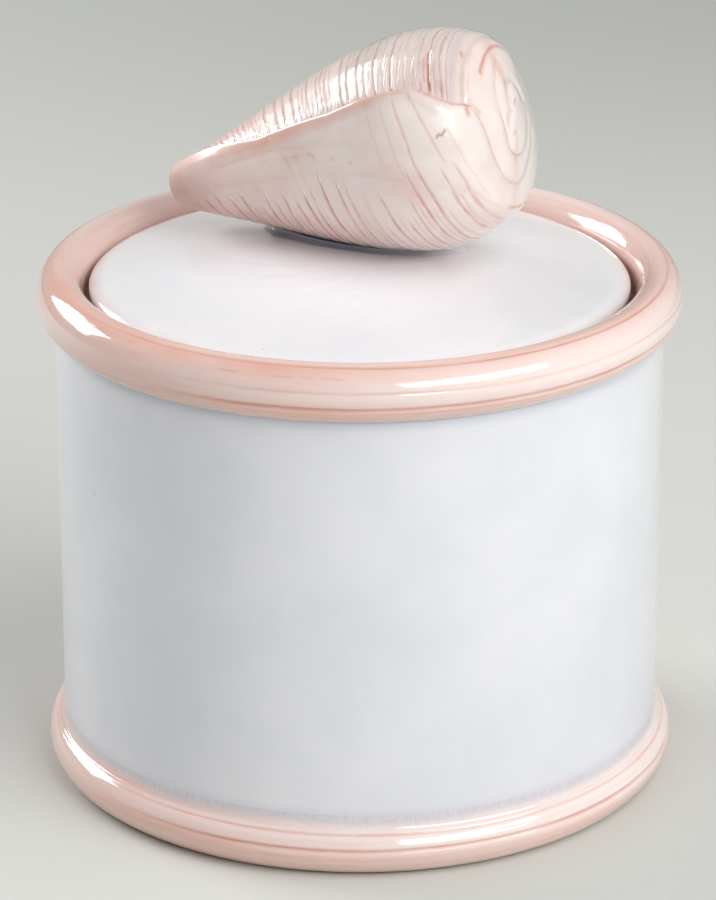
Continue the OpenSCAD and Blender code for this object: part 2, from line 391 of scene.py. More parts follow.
def addPool(tree, vector, cloudy, colour, pool):
    shaken = axisOf(tree, vector, 2)
    streaks = useGroup(tree, runs, vector, **pool["runs"])
    for waves in (cloudy, streaks):
        shaken = calc(tree, "MULTIPLY_ADD", calc(tree, "SUBTRACT", waves, 0.5), pool["shake"], shaken)
    flow = blendColour(tree, streaks, pool["lilac"], pool["white"])
    flow = blendColour(tree, spread(tree, shaken, *pool["wallStart"]), flow, pool["wall"])
    colour = blendColour(tree, spread(tree, shaken, *pool["start"]), colour, flow)
    # The dry cream at the stand is darkened as painted contact shade
    return blendColour(tree, spread(tree, shaken, *pool["dry"]), colour, pool["dryCreamAndShade"])


def makeRollGlaze(name, settings, pooled):
    material, tree, vector, cloudy, colour = startGlaze(name, settings)
    broad = useGroup(tree, ringBrush, vector, **settings["broadBrush"])
    fine = useGroup(tree, ringBrush, vector, **settings["fineBrush"])
    brushed = calc(tree, "MULTIPLY", broad, settings["broadShare"])
    brushed = calc(tree, "MULTIPLY_ADD", fine, settings["fineShare"], brushed)
    uneven = calc(tree, "MULTIPLY_ADD", brushed, *settings["washRange"])
    wash = calc(tree, "MULTIPLY", readMask(tree, "blush"), uneven)
    wash = calc(tree, "MULTIPLY_ADD", brushed, settings["washLeast"], wash, clamp=True)
    colour = blendColour(tree, wash, colour, settings["pink"])
    broken = calc(tree, "MULTIPLY_ADD", fine, *settings["lineRange"])
    line = calc(tree, "MULTIPLY", readMask(tree, "line"), broken, clamp=True)
    colour = blendColour(tree, line, colour, settings["deep"])
    if pooled:
        colour = addPool(tree, vector, cloudy, colour, settings["pool"])
    return finishGlaze(material, vector, settings, colour, fine, grain=fine)


# Grey glaze of the bed: deeper towards the shell as painted shade, lighter at the right as painted light, dull at
# the left end
bedGlaze = {
    "ior": 1.5, "coat": 0.8, "coatRoughness": 0.02, "roughness": (0.06, 0.14),
    "clouds": {"scale": 150.0, "contrast": 1.2}, "colours": ((214, 217, 223),), "shake": 0.35,
    "blue": (172, 178, 190), "blueStart": (0.05, 0.45), "deep": (150, 156, 168), "deepStart": (0.45, 0.95),
    "light": (228, 230, 236), "paintedLightEnds": (-0.006, 0.022, 0.0, 0.8), "dullEnds": (-0.03, -0.012, 1.0, 0.0),
    "dullCoat": -0.8, "dullRoughness": 0.45,
    "specks": {"scale": 300.0, "size": 0.12, "share": 0.08}, "speckStrength": 0.4, "speck": (90, 88, 90),
    "skin": {"broadScale": 160.0, "fineScale": 800.0, "fineShare": 0.1}, "bump": (0.6, 0.0004),
}


def makeBedGlaze(settings):
    material, tree, vector, cloudy, colour = startGlaze("bedGlaze", settings)
    # Painted shade: blue and deep grey where the bed lies in the crevice under the shell
    shaken = calc(tree, "MULTIPLY_ADD", calc(tree, "SUBTRACT", cloudy, 0.5), settings["shake"],
                  readMask(tree, "creviceShade"))
    for tone in ("blue", "deep"):
        colour = blendColour(tree, spread(tree, shaken, *settings[tone + "Start"]), colour, settings[tone])
    along = axisOf(tree, vector, 0)
    # Painted light: the right end is lighter
    colour = blendColour(tree, spread(tree, along, *settings["paintedLightEnds"]), colour, settings["light"])
    return finishGlaze(material, vector, settings, colour, cloudy, spread(tree, along, *settings["dullEnds"]))


# Bare clay of the ledge, which the lid rubs on
bareClay = {
    "ior": 1.45, "coat": 0.0, "coatRoughness": 0.1, "roughness": (0.6, 0.8),
    "clouds": {"scale": 80.0, "contrast": 1.2}, "colours": ((206, 172, 148), (176, 138, 114)),
    "specks": {"scale": 500.0, "size": 0.2, "share": 0.3}, "speckStrength": 0.6, "speck": (120, 88, 70),
    "skin": {"broadScale": 400.0, "fineScale": 1800.0, "fineShare": 0.6}, "bump": (0.5, 0.0003),
}


def makeBareClay(settings):
    material, _, vector, cloudy, colour = startGlaze("bareClay", settings)
    return finishGlaze(material, vector, settings, colour, cloudy)


# Stained glaze of the shell, with painted shade at the tip and over the upper side
shellGlaze = {
    "ior": 1.55, "coat": 1.0, "coatRoughness": 0.02, "roughness": (0.06, 0.12),
    "clouds": {"scale": 70.0, "contrast": 1.2}, "colours": ((240, 229, 224), (230, 218, 212)),
    "mottle": {"scale": 190.0, "contrast": 0.9}, "cloudShare": 0.35, "mottleRange": (0.4, 0.6),
    "hairScale": (1300.0, 60.0, 0.0), "hairRange": (0.4, 0.64), "hairPink": 0.3, "grain": -0.7,
    "pink": (224, 186, 173), "lilac": (206, 194, 198), "stain": (200, 124, 102), "brownStainAndShade": (140, 106, 84),
    "patches": {"scale": 260.0, "contrast": 1.1}, "stainRange": (0.5, 0.6), "dullCoat": -0.95,
    "dullRoughness": 0.42,
    "specks": {"scale": 240.0, "size": 0.1, "share": 0.05}, "speckStrength": 0.4, "speck": (150, 110, 90),
    "skin": {"broadScale": 120.0, "fineScale": 700.0, "fineShare": 0.05}, "bump": (0.5, 0.0004),
}


def makeShellGlaze(settings):
    material, tree, vector, cloudy, colour = startGlaze("shellGlaze", settings)
    place = calcVector(tree, "MULTIPLY", readMask(tree, "shellPlace", "Vector"), settings["hairScale"])
    strands = spread(tree, noise(tree, place, scale=1.0, detail=3.0, roughness=0.55), *settings["hairRange"])
    hairs = calc(tree, "MULTIPLY", strands, readMask(tree, "hairs"))
    mottle = useGroup(tree, clouds, vector, **settings["mottle"])
    uneven = calc(tree, "MULTIPLY_ADD", mottle, *settings["mottleRange"])
    uneven = calc(tree, "MULTIPLY_ADD", cloudy, settings["cloudShare"], uneven)
    blush = calc(tree, "MULTIPLY", readMask(tree, "blush"), uneven, clamp=True)
    blush = calc(tree, "MULTIPLY_ADD", hairs, settings["hairPink"], blush, clamp=True)
    patchy = useGroup(tree, clouds, vector, **settings["patches"])
    patchy = calc(tree, "MULTIPLY_ADD", patchy, *settings["stainRange"])
    lilac = calc(tree, "MULTIPLY", readMask(tree, "lilac"), uneven, clamp=True)
    stain = calc(tree, "MULTIPLY", readMask(tree, "stain"), patchy, clamp=True)
    # The brown is real brown marks and, at the tip, painted shade
    for tone, share in (("pink", blush), ("lilac", lilac), ("stain", stain), ("brownStainAndShade", readMask(tree, "brownStainAndShade"))):
        colour = blendColour(tree, share, colour, settings[tone])
    return finishGlaze(material, vector, settings, colour, cloudy, readMask(tree, "dull"), hairs)


materials = {
    "wall": makeWallGlaze(wallGlaze),
    "lid": makeLidGlaze(lidGlaze),
    "rim": makeRollGlaze("rimGlaze", rollGlaze, False),
    "foot": makeRollGlaze("footGlaze", rollGlaze, True),
    "bed": makeBedGlaze(bedGlaze),
    "shell": makeShellGlaze(shellGlaze),
    "clay": makeBareClay(bareClay),
}
print("materials made:", ", ".join(materials))


# Mesh tools
def buildPiece(name, points, faces, material, masks=(), sharpAngle=50.0):
    mesh = bpy.data.meshes.new(name)
    mesh.from_pydata(points, [], faces)
    mesh.validate()
    for maskName, values in masks:
        mask = mesh.attributes.new(maskName, "FLOAT", "POINT")
        mask.data.foreach_set("value", values)
    mesh.materials.append(material)
    mesh.shade_smooth()
    mesh.set_sharp_from_angle(angle=math.radians(sharpAngle))
    piece = bpy.data.objects.new(name, mesh)
    scene.collection.objects.link(piece)
    return piece


def turnSection(section, around):
    # Turns a closed section of (radius, height, line) points, where a function gives it for each angle
    points, lines, faces = [], [], []
    for step in range(around):
        angle = 2 * math.pi * step / around
        for radius, height, line in section(angle):
            points.append((radius * math.sin(angle), -radius * math.cos(angle), height))
            lines.append(line)
    count = len(points) // around
    for step in range(around):
        here, there = step * count, (step + 1) % around * count
        for i in range(count):
            j = (i + 1) % count
            faces.append((here + i, there + i, there + j, here + j))
    return points, faces, lines


def arc(middle, size, first, last, steps):
    # Points of an oval arc, from straight out at 0 degrees to straight up at 90
    for step in range(steps + 1):
        angle = first + (last - first) * step / steps
        yield angle, (middle[0] + size[0] * math.cos(math.radians(angle)),
                      middle[1] + size[1] * math.sin(math.radians(angle)))


def pushIn(angle, point, inward):
    # Moves a point of an oval arc against the direction of its angle
    turn = math.radians(angle)
    return point[0] - inward * math.cos(turn), point[1] - inward * math.sin(turn)


# How the scratched lines fade round the jar, in degrees from the front, and how they waver
scratchSettings = {
    "fade": [(-180, 0.3), (-90, 0.12), (-40, 0.15), (-20, 1.0), (80, 1.0), (115, 0.5), (180, 0.3)],
    "strength": 0.8, "uneven": 0.35, "unevenPace": 1.3, "stray": 1.2, "strayPace": 0.9, "stainWidth": 1.2,
}


def scratch(angle, around, size, grooves):
    # Depth and stain of the scratched lines at one place of an oval section. A groove is its angle, its depth
    # in mm, its stain, its width in mm, and how far ahead of the others it fades
    lines, depth, stain = scratchSettings, 0.0, 0.0
    degrees = signed(math.degrees(around))
    for number, (place, deep, strong, width, lead) in enumerate(grooves):
        strength = lines["strength"] + lines["uneven"] * wander(around * lines["unevenPace"], number + 3)
        strength *= readTable(degrees + lead, lines["fade"])
        stray = lines["stray"] * wander(around * lines["strayPace"], number + 11)
        off = math.radians(angle - place - stray) * size
        depth += deep * mm * strength * bump(off, width * mm)
        stain = max(stain, strong * strength * bump(off, width * mm * lines["stainWidth"]))
    return depth, min(1.0, stain)


def washAt(angle, around, settings):
    # How pink the wash is: a row of its table is the angle round the jar, then the amount for each zone
    # of the section
    degrees, table = math.degrees(around), settings["wash"]
    amounts = [readTable(degrees, [(row[0], amount) for row, amount in zip(table, column)])
               for column in list(zip(*table))[1:]]
    return readTable(angle, list(zip(settings["washZones"], amounts)))


# Wall of the jar
wallSettings = {"waves": 0.06 * mm, "wavesUp": 20, "stillEnds": 10 * mm, "around": 288, "levels": 60}


def makeWall(settings):
    low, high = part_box("jar_wall")
    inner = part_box("jar_floor")[1][0]
    levels, still = settings["levels"], settings["stillEnds"]

    def section(angle):
        for level in range(levels + 1):
            height = low[2] + (high[2] - low[2]) * level / levels
            fade = between(height, low[2], low[2] + still) * (1 - between(height, high[2] - still, high[2]))
            wave = wander(angle + height * settings["wavesUp"], 1) * settings["waves"] * fade
            yield high[0] + wave, height, 0.0
        for level in range(levels, -1, -1):
            yield inner, low[2] + (high[2] - low[2]) * level / levels, 0.0

    points, faces, _ = turnSection(section, settings["around"])
    piece = buildPiece("jarWallGlazed", points, faces, materials["wall"])
    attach(piece, "jar")
    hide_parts("jar_wall")


makeWall(wallSettings)

# Roll at the rim. The zones of its wash are the under side, the outside, the crest, the lip band and the inside
rimSettings = {
    "width": 12 * mm, "height": 14.7 * mm, "seatCut": 0.5 * mm, "around": 400, "steps": 150,
    "grooves": [(-21.5, 0.42, 0.8, 0.45, 0), (13, 0.22, 0.5, 0.3, -8), (71, 0.3, 0.95, 0.34, 22),
                (-33, 0.08, 0.25, 0.4, 30), (118, 0.06, 0.25, 0.5, 0), (140, 0.05, 0.2, 0.5, 0)],
    "dashes": {
        "angle": 43, "runs": [(-24.6, -21.4), (-14.6, -11.2), (-10.2, -8), (-6.8, -2.6)], "soft": 0.5,
        "width": 0.2 * mm, "depth": 0.07 * mm, "stain": 0.55, "pace": 0.6,
    },
    "waves": 0.1 * mm, "waveEnds": (-0.9, -0.5), "proud": 0.02 * mm,
    "washZones": (-45, 12, 66, 88, 150),
    "wash": [(0, 0.68, 0.12, 0.65, 0.32, 0.6), (40, 0.3, 0.04, 0.45, 0.78, 0.75),
             (65, 0.25, 0.04, 0.45, 0.78, 0.75), (90, 0.45, 0.12, 0.95, 0.55, 0.7),
             (110, 0.5, 0.3, 0.9, 0.5, 0.6), (135, 0.5, 0.55, 0.45, 0.2, 0.5),
             (180, 0.5, 0.5, 0.35, 0.25, 0.6), (225, 0.5, 0.5, 0.35, 0.35, 0.6), (262, 0.5, 0.7, 0.95, 0.55, 0.5),
             (285, 0.55, 0.38, 0.95, 0.75, 0.55), (315, 0.75, 0.45, 0.95, 0.8, 0.5),
             (330, 0.72, 0.38, 1.0, 0.65, 0.5), (350, 0.7, 0.22, 0.78, 0.36, 0.55),
             (360, 0.68, 0.12, 0.65, 0.32, 0.6)],
}


def dashAt(angle, around, size, dashes):
    # A few short scratched dashes at the front
    degrees, soft = signed(math.degrees(around)), dashes["soft"]
    broken = sum(between(degrees, first - soft, first + soft) * (1 - between(degrees, last - soft, last + soft))
                 for first, last in dashes["runs"])
    off = math.radians(angle - dashes["angle"] - math.sin(degrees * dashes["pace"])) * size
    return broken * bump(off, dashes["width"])


def makeRim(settings):
    low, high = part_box("rim_roll")
    half = (settings["width"] / 2, settings["height"] / 2)
    middle = (high[0] - half[0], low[2] - settings["seatCut"] + half[1])
    cut = math.degrees(math.asin(1 - settings["seatCut"] / half[1]))
    size = (half[0] + half[1]) / 2
    dashes = settings["dashes"]
    blushes = []

    def section(around):
        wave = settings["waves"] * wander(around, 5)
        for angle, point in arc(middle, half, -cut, 180 + cut, settings["steps"]):
            depth, stain = scratch(angle, around, size, settings["grooves"])
            dash = dashAt(angle, around, size, dashes)
            fade = between(math.sin(math.radians(angle)), *settings["waveEnds"])
            inward = depth + dashes["depth"] * dash - wave * fade - settings["proud"]
            blushes.append(washAt(angle, around, settings))
            radius, height = pushIn(angle, point, inward)
            yield radius, max(low[2], height), max(stain, dashes["stain"] * dash)

    points, faces, lines = turnSection(section, settings["around"])
    piece = buildPiece("rimRollWashed", points, faces, materials["rim"], [("line", lines), ("blush", blushes)])
    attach(piece, "jar")
    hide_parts("rim_roll")


makeRim(rimSettings)

# Roll at the foot with its fillet
footSettings = {
    "width": 12 * mm, "height": 13 * mm, "low": -72, "high": 60, "around": 400, "steps": 100,
    "filletSteps": 24, "standWidth": 7.5 * mm, "recess": 4 * mm, "seat": 3 * mm,
    "grooves": [(12, 0.4, 0.75, 0.42, 6), (50, 0.34, 0.6, 0.34, 12), (-28, 0.06, 0.2, 0.4, 0),
                (30, 0.04, 0.15, 0.5, 0)],
    "waves": 0.08 * mm, "waveStart": 30, "waveEnd": 20,
    "washZones": (-60, -25, -9, 4, 30, 60),
    "wash": [(0, 0.45, 0.5, 0.66, 0.2, 0.12, 0.08), (15, 0.45, 0.38, 0.6, 0.15, 0.1, 0.06),
             (30, 0.4, 0.45, 0.6, 0.1, 0.02, 0.15), (45, 0.35, 0.57, 0.55, 0.02, 0.02, 0.1),
             (60, 0.5, 0.6, 0.45, 0.05, 0.02, 0.06), (75, 0.5, 0.5, 0.45, 0.4, 0.12, 0.1),
             (90, 0.4, 0.4, 0.4, 0.4, 0.25, 0.2), (180, 0.4, 0.5, 0.45, 0.4, 0.35, 0.3),
             (270, 0.35, 0.45, 0.45, 0.5, 0.45, 0.5), (300, 0.45, 0.6, 0.55, 0.63, 0.52, 0.7),
             (310, 0.5, 0.55, 0.7, 0.72, 0.48, 0.6), (330, 0.95, 0.65, 0.78, 0.65, 0.27, 0.35),
             (345, 0.75, 0.55, 0.75, 0.36, 0.16, 0.15), (360, 0.45, 0.5, 0.66, 0.2, 0.12, 0.08)],
}


def makeFoot(settings):
    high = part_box("foot_roll")[1]
    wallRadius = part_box("jar_wall")[1][0]
    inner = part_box("jar_floor")[1][0]
    half = (settings["width"] / 2, settings["height"] / 2)
    middle = (high[0] - half[0], half[1])
    size = (half[0] + half[1]) / 2
    stand = inner - settings["seat"]
    blushes = []

    def section(around):
        wave = settings["waves"] * wander(around, 9)
        rows = [(stand, 0.0, 0.0, 0.0), (stand + settings["standWidth"], 0.0, 0.0, 0.0)]
        for angle, point in arc(middle, half, settings["low"], settings["high"], settings["steps"]):
            depth, stain = scratch(angle, around, size, settings["grooves"])
            fade = between(angle, settings["low"], settings["low"] + settings["waveStart"])
            inward = depth - wave * (fade * (1 - between(angle, settings["waveEnd"], settings["high"])))
            radius, height = pushIn(angle, point, inward)
            rows.append((radius, max(0.0, height), stain, washAt(angle, around, settings)))
        last = rows[-1]
        for step in range(1, settings["filletSteps"] + 1):
            turn = math.pi / 2 * step / settings["filletSteps"]
            rows.append((wallRadius + (last[0] - wallRadius) * (1 - math.sin(turn)),
                         last[1] + (high[2] - last[1]) * (1 - math.cos(turn)), 0.0, last[3]))
        rows += [(inner, high[2], 0.0, 0.0), (inner, settings["recess"], 0.0, 0.0),
                 (stand, settings["recess"], 0.0, 0.0)]
        for radius, height, stain, blush in rows:
            blushes.append(blush)
            yield radius, height, stain

    points, faces, lines = turnSection(section, settings["around"])
    piece = buildPiece("footRollWashed", points, faces, materials["foot"], [("line", lines), ("blush", blushes)])
    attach(piece, "jar")
    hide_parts("foot_roll")


makeFoot(footSettings)
print("jar made")

# Lid with its dome and rounded edge
lidSettings = {
    "crown": 5.5 * mm, "rise": 5.7 * mm, "edge": 6 * mm, "round": (4.6 * mm, 2.6 * mm), "around": 288,
    "rings": 90, "roundSteps": 16, "chamfer": 1.1 * mm, "wellRadius": 60 * mm, "wellRings": 12,
    "waves": 0.06 * mm, "wavesAround": 3, "wavesOut": 90, "waveRadius": 30 * mm,
}


def makeLid(settings):
    low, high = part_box("lid_disc")
    reach = high[0]
    roundOut, roundDown = settings["round"]
    flat = reach - roundOut
    edgeHeight = low[2] + settings["edge"]

    def dome(radius):
        return high[2] - (high[2] - edgeHeight) * (radius / reach) ** 2

    points, faces = [(0.0, 0.0, high[2])], []
    section = []
    for ring in range(1, settings["rings"] + 1):
        radius = flat * ring / settings["rings"]
        section.append((radius, dome(radius)))
    slope = 2 * (high[2] - edgeHeight) * flat / reach ** 2
    for step in range(1, settings["roundSteps"] + 1):
        turn = math.pi / 2 * step / settings["roundSteps"]
        out = roundOut * math.sin(turn)
        section.append((flat + out, dome(flat) - slope * out * math.cos(turn) - roundDown * (1 - math.cos(turn))))
    chamfer = settings["chamfer"]
    section += [(reach, low[2] + chamfer), (reach - chamfer, low[2])]
    well = settings["wellRadius"]
    for ring in range(settings["wellRings"], 0, -1):
        radius = well * ring / settings["wellRings"]
        section.append((radius, high[2] - settings["crown"]
                        - (high[2] - settings["crown"] - low[2]) * (radius / well) ** 2))
    around = settings["around"]
    for radius, height in section:
        for step in range(around):
            angle = 2 * math.pi * step / around
            wave = settings["waves"] * wander(settings["wavesAround"] * angle + radius * settings["wavesOut"], 2)
            wave *= between(radius, 0.0, settings["waveRadius"])
            points.append((radius * math.sin(angle), -radius * math.cos(angle), height - abs(wave)))
    points.append((0.0, 0.0, high[2] - settings["crown"]))
    last = len(points) - 1
    for step in range(around):
        after = (step + 1) % around
        faces.append((0, 1 + step, 1 + after))
        for ring in range(len(section) - 1):
            here, there = 1 + ring * around, 1 + (ring + 1) * around
            faces.append((here + step, there + step, there + after, here + after))
        end = 1 + (len(section) - 1) * around
        faces.append((last, end + after, end + step))
    piece = buildPiece("lidGlazed", points, faces, materials["lid"])
    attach(piece, "lid")
    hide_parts("lid_disc")


makeLid(lidSettings)
print("lid made")

# The shell. Along it a place runs from 0 at the tip to 1 at the spire's end, and angles run round it in degrees
shellSettings = {
    "length": 101 * mm, "belly": 27.8 * mm, "turn": 23.8, "rise": 18.6,
    "middle": (-5 * mm, 13.2 * mm), "bellyCut": 0.8 * mm, "sink": 0.2 * mm,
    "outline": [(0, 0), (0.015, 0.147), (0.039, 0.21), (0.094, 0.291), (0.212, 0.438), (0.35, 0.617),
                (0.488, 0.795), (0.626, 0.933), (0.744, 1), (0.842, 0.963), (0.921, 0.852),
                (0.957, 0.716), (0.98, 0.46), (0.993, 0.23), (1, 0)],
    "lipAngles": [(0, 97), (0.045, 112), (0.12, 122), (0.27, 140), (0.37, 147.5), (0.62, 150), (0.8, 147),
                  (0.86, 146.5), (0.94, 157.5), (1, 160)],
    "growth": 0.21, "growthEnd": 0.8, "stepEnds": (10.55, 11.42),
    "ringGap": 0.2 * mm, "columns": 300, "lipSteps": 6, "lipFillet": 0.9 * mm, "filletShare": 0.3,
    "leastGap": 0.06 * mm, "lipShare": 0.45, "strokeGap": 0.5, "strokeReach": 2.2, "slopeRings": 3,
    "lipRounds": [(0, 0.4 * mm), (0.1, 0.55 * mm), (0.6, 0.7 * mm), (0.76, 1.1 * mm), (0.85, 2 * mm), (1, 2 * mm)],
    # How strong its masks are: the wash and its bands along the lip, the tip, and where the glaze is dull
    "masks": {
        "wash": 0.2, "narrowWash": 0.42, "narrowEnds": (0.3, 0.62), "tipWash": 0.4, "tipReach": 0.08,
        "spireWash": -0.15, "spireEnds": (0.95, 0.98), "flapWash": -0.16, "flapEnds": (0.7, 0.9),
        "lipWash": [(0, 0.5), (0.35, 0.6), (0.6, 0.85), (0.85, 0.9), (0.95, 0.2)],
        "lipReach": [(0, 2.4 * mm), (0.4, 2.6 * mm), (0.7, 1.6 * mm), (0.9, 0.8 * mm)],
        "lipStain": [(0.06, 0.15), (0.15, 0.42), (0.62, 0.46), (0.76, 0.4), (0.84, 0.1), (0.87, 0)],
        "stainBand": (1.7 * mm, 1.5 * mm), "hairs": 0.75, "hairEnds": (0.9, 0.955), "lilac": 0.16,
        "lilacShadeEnds": (0.93, 0.96), "tipShade": 0.26, "tipShadeEnds": (0.06, 0.24), "wallStain": 0.3,
        "filletStain": 0.4, "patchRadius": 0.9, "gloss": 0.8, "glossWaves": 0.4, "glossPace": 60,
        "tipDullEnds": (0.1, 0.26), "dullBand": (1.5 * mm, 1.8 * mm), "lipDull": 0.8, "lipDullStart": (0.1, 0.3),
        "lipDullEnd": (0.7, 0.84), "backDull": 0.85, "backDullFade": 1.2 * mm, "backDullEnd": (0.58, 0.7),
        "glossReach": [(0.15, 2.6 * mm), (0.27, 3.8 * mm), (0.42, 5 * mm), (0.52, 6.6 * mm), (0.7, 8 * mm)],
    },
    # Every groove, the front ones, and the upper ones
    "groove": {
        "width": 0.36 * mm, "depth": 0.34 * mm, "stainWidth": 0.34 * mm, "haloWidth": 1.1 * mm, "halo": 0.22,
        "force": 0.85, "uneven": 0.3, "leastForce": 0.02,
    },
    "front": {
        "wobble": 0.25 * mm, "wobblePitch": 30, "forcePitch": 16, "starts": (-4, 7), "ends": (330, 375),
        "endShift": 20, "width": 0.75, "widening": 0.35, "wideAfter": 25, "stain": 0.9,
        "fineStart": 206, "fineStartShift": 8, "fineStrength": 0.3, "finePlace": 0.45, "finePlaceShift": 0.2,
        "lean": [(0.1, 0.0005), (0.26, 0.0003), (0.34, -0.0002), (0.95, -0.0002)], "leanFrom": 215,
        "broadPlace": 0.7, "broadLean": 0.0007, "broadLeanTo": 200,
    },
    "upper": {
        "lean": [(0.2, 0.0013), (0.45, 0.0012), (0.6, 0.0011), (0.7, 0.0008), (0.8, 0.0005), (0.92, 0.0003)],
        "leanFrom": 130, "leanTo": 60, "wobble": 0.22 * mm, "wobblePitch": 22, "forcePitch": 14,
        "ends": (-70, -20), "endShift": 15, "width": 0.8, "widthWaves": 0.25, "stain": 0.6, "lipPlace": 0.6,
        "tilt": 0.11 * mm, "unevenTilt": 0.05 * mm, "swell": 0.03 * mm, "fine": 0.012 * mm,
        "finePitch": 0.85 * mm,
    },
}
# Grooves cut in the front: place, angle where it starts, strength
frontGrooves = [
    (0.062, 212, 0.3), (0.083, 203, 0.45), (0.106, 196, 0.6), (0.147, 197, 0.75), (0.186, 190, 0.75),
    (0.236, 195, 0.9), (0.275, 190, 1.0), (0.325, 199, 0.6), (0.353, 189, 0.85), (0.378, 195, 0.6),
    (0.4125, 189, 0.9), (0.453, 192, 0.7), (0.486, 189, 1.0), (0.5125, 187, 0.85), (0.553, 178, 0.95),
    (0.6, 184, 0.75), (0.627, 184, 0.6), (0.653, 213, 0.6), (0.67, 192, 0.45), (0.72, 193, 0.7),
    (0.7575, 212, 0.8), (0.789, 199, 0.6), (0.816, 185, 0.7), (0.844, 185, 0.75), (0.894, 188, 0.6),
    (0.925, 187, 0.45),
]
# Grooves cut above the lip and over the back: place at 130 degrees, strength
upperGrooves = [
    (0.15, 0.4), (0.174, 0.5), (0.196, 0.6), (0.219, 0.5), (0.243, 0.7), (0.264, 0.5), (0.287, 0.7),
    (0.305, 0.45), (0.318, 0.6), (0.332, 0.5), (0.347, 0.3), (0.367, 0.95), (0.404, 1.0), (0.434, 0.9),
    (0.465, 0.95), (0.489, 0.75), (0.504, 0.4), (0.516, 0.85), (0.536, 0.35), (0.55, 0.6), (0.563, 0.75),
    (0.578, 0.6), (0.594, 0.4), (0.628, 0.9), (0.65, 0.7), (0.68, 0.9), (0.702, 0.55), (0.731, 0.85),
    (0.755, 0.35), (0.777, 0.9), (0.797, 0.3), (0.812, 0.4), (0.832, 0.35), (0.852, 0.6), (0.875, 0.9),
    (0.889, 0.4), (0.903, 0.65), (0.917, 0.35),
]
# Single strokes: mask, width in mm, strength, depth in mm, then the places and angles it runs through
strokes = [
    ("stain", 0.5, 1.0, 0.3, [(0.869, 117), (0.876, 130), (0.8825, 145)]),
    ("stain", 0.35, 0.5, 0.1, [(0.862, 122), (0.867, 131), (0.871, 139)]),
    ("stain", 1.2, 0.45, 0.0, [(0.906, 141), (0.914, 147)]),
    ("stain", 0.4, 1.0, 0.15, [(0.934, 157), (0.95, 157.8), (0.966, 158)]),
    ("stain", 0.9, 0.7, 0.0, [(0.962, 160), (0.9625, 164)]),
    ("stain", 0.6, 0.4, 0.0, [(0.966, 153), (0.97, 158), (0.975, 164)]),
    ("stain", 0.45, 0.9, 0.22, [(0.975, 120), (0.974, 105), (0.972, 92), (0.969, 77), (0.965, 60), (0.962, 40)]),
    ("blush", 1.5, 0.8, 0.0, [(0.975, 120), (0.974, 105), (0.972, 92), (0.969, 77), (0.965, 60)]),
    ("blush", 0.7, 0.7, 0.0, [(0.964, 145), (0.964, 132), (0.961, 118), (0.958, 104), (0.955, 87), (0.944, 60)]),
    ("stain", 0.4, 0.65, 0.08, [(0.947, 250), (0.945, 268)]),
    ("stain", 0.4, 0.6, 0.08, [(0.909, 246), (0.905, 262)]),
    ("stain", 0.42, 0.55, 0.0, [(0.458, 167.3), (0.467, 168.2), (0.471, 171)]),
    ("stain", 0.42, 0.5, 0.0, [(0.49, 168.1), (0.505, 168.4)]),
    ("stain", 0.42, 0.6, 0.0, [(0.545, 168.5), (0.556, 169.4), (0.562, 171)]),
    ("stain", 0.35, 0.45, 0.0, [(0.617, 173.2), (0.624, 174)]),
    ("stain", 0.35, 0.4, 0.0, [(0.67, 176.8), (0.673, 177.4)]),
    ("stain", 0.4, 0.14, 0.03, [(0.471, 171), (0.48, 180), (0.486, 190)]),
    ("stain", 0.4, 0.14, 0.03, [(0.505, 168.4), (0.508, 178), (0.5125, 188)]),
    ("stain", 0.35, 0.4, 0.08, [(0.814, 152), (0.826, 163), (0.834, 174), (0.838, 194)]),
    ("stain", 0.35, 0.4, 0.08, [(0.857, 151), (0.875, 162), (0.892, 174), (0.905, 188)]),
    ("stain", 0.35, 0.2, 0.04, [(0.78, 153), (0.79, 166), (0.797, 180), (0.803, 190)]),
    ("stain", 0.35, 0.15, 0.04, [(0.742, 153), (0.752, 168), (0.76, 180)]),
    ("stain", 0.4, 0.25, 0.05, [(0.93, 172), (0.942, 186), (0.948, 206), (0.947, 226)]),
    ("lilac", 1.2, 0.5, 0.1, [(0.931, 155), (0.931, 138), (0.929, 122), (0.926, 106), (0.92, 88), (0.91, 60)]),
    ("lilac", 0.7, 0.5, 0.05, [(0.9, 148), (0.897, 125), (0.89, 100), (0.882, 70)]),
    ("lilac", 0.7, 0.5, 0.05, [(0.848, 145), (0.842, 125), (0.834, 104), (0.822, 80)]),
    ("brownStainAndShade", 0.3, 0.8, 0.08, [(0.905, 174.5), (0.912, 173.4), (0.917, 174.2), (0.925, 172)]),
    ("brownStainAndShade", 0.35, 0.5, 0.05, [(0.941, 112), (0.945, 116)]),
    # A bead of glaze on the lip, and a dull place below it
    ("blush", 1.5, 0.1, -0.6, [(0.868, 150.5), (0.881, 152.3), (0.894, 154.5), (0.906, 156.5), (0.918, 159)]),
    ("dull", 4, 1.0, 0.0, [(0.93, 165), (0.945, 169)]),
    # On the spire
    ("stain", 0.45, 0.6, 0.1, [(0.996, 33), (0.998, 42)]),
    ("stain", 0.6, 0.35, 0.05, [(0.994, 245), (0.9945, 250)]),
    ("stain", 0.5, 0.4, 0.1, [(0.984, 258), (0.984, 265)]),
    ("stain", 0.4, 0.3, 0.1, [(0.964, 257), (0.955, 257), (0.948, 259)]),
]
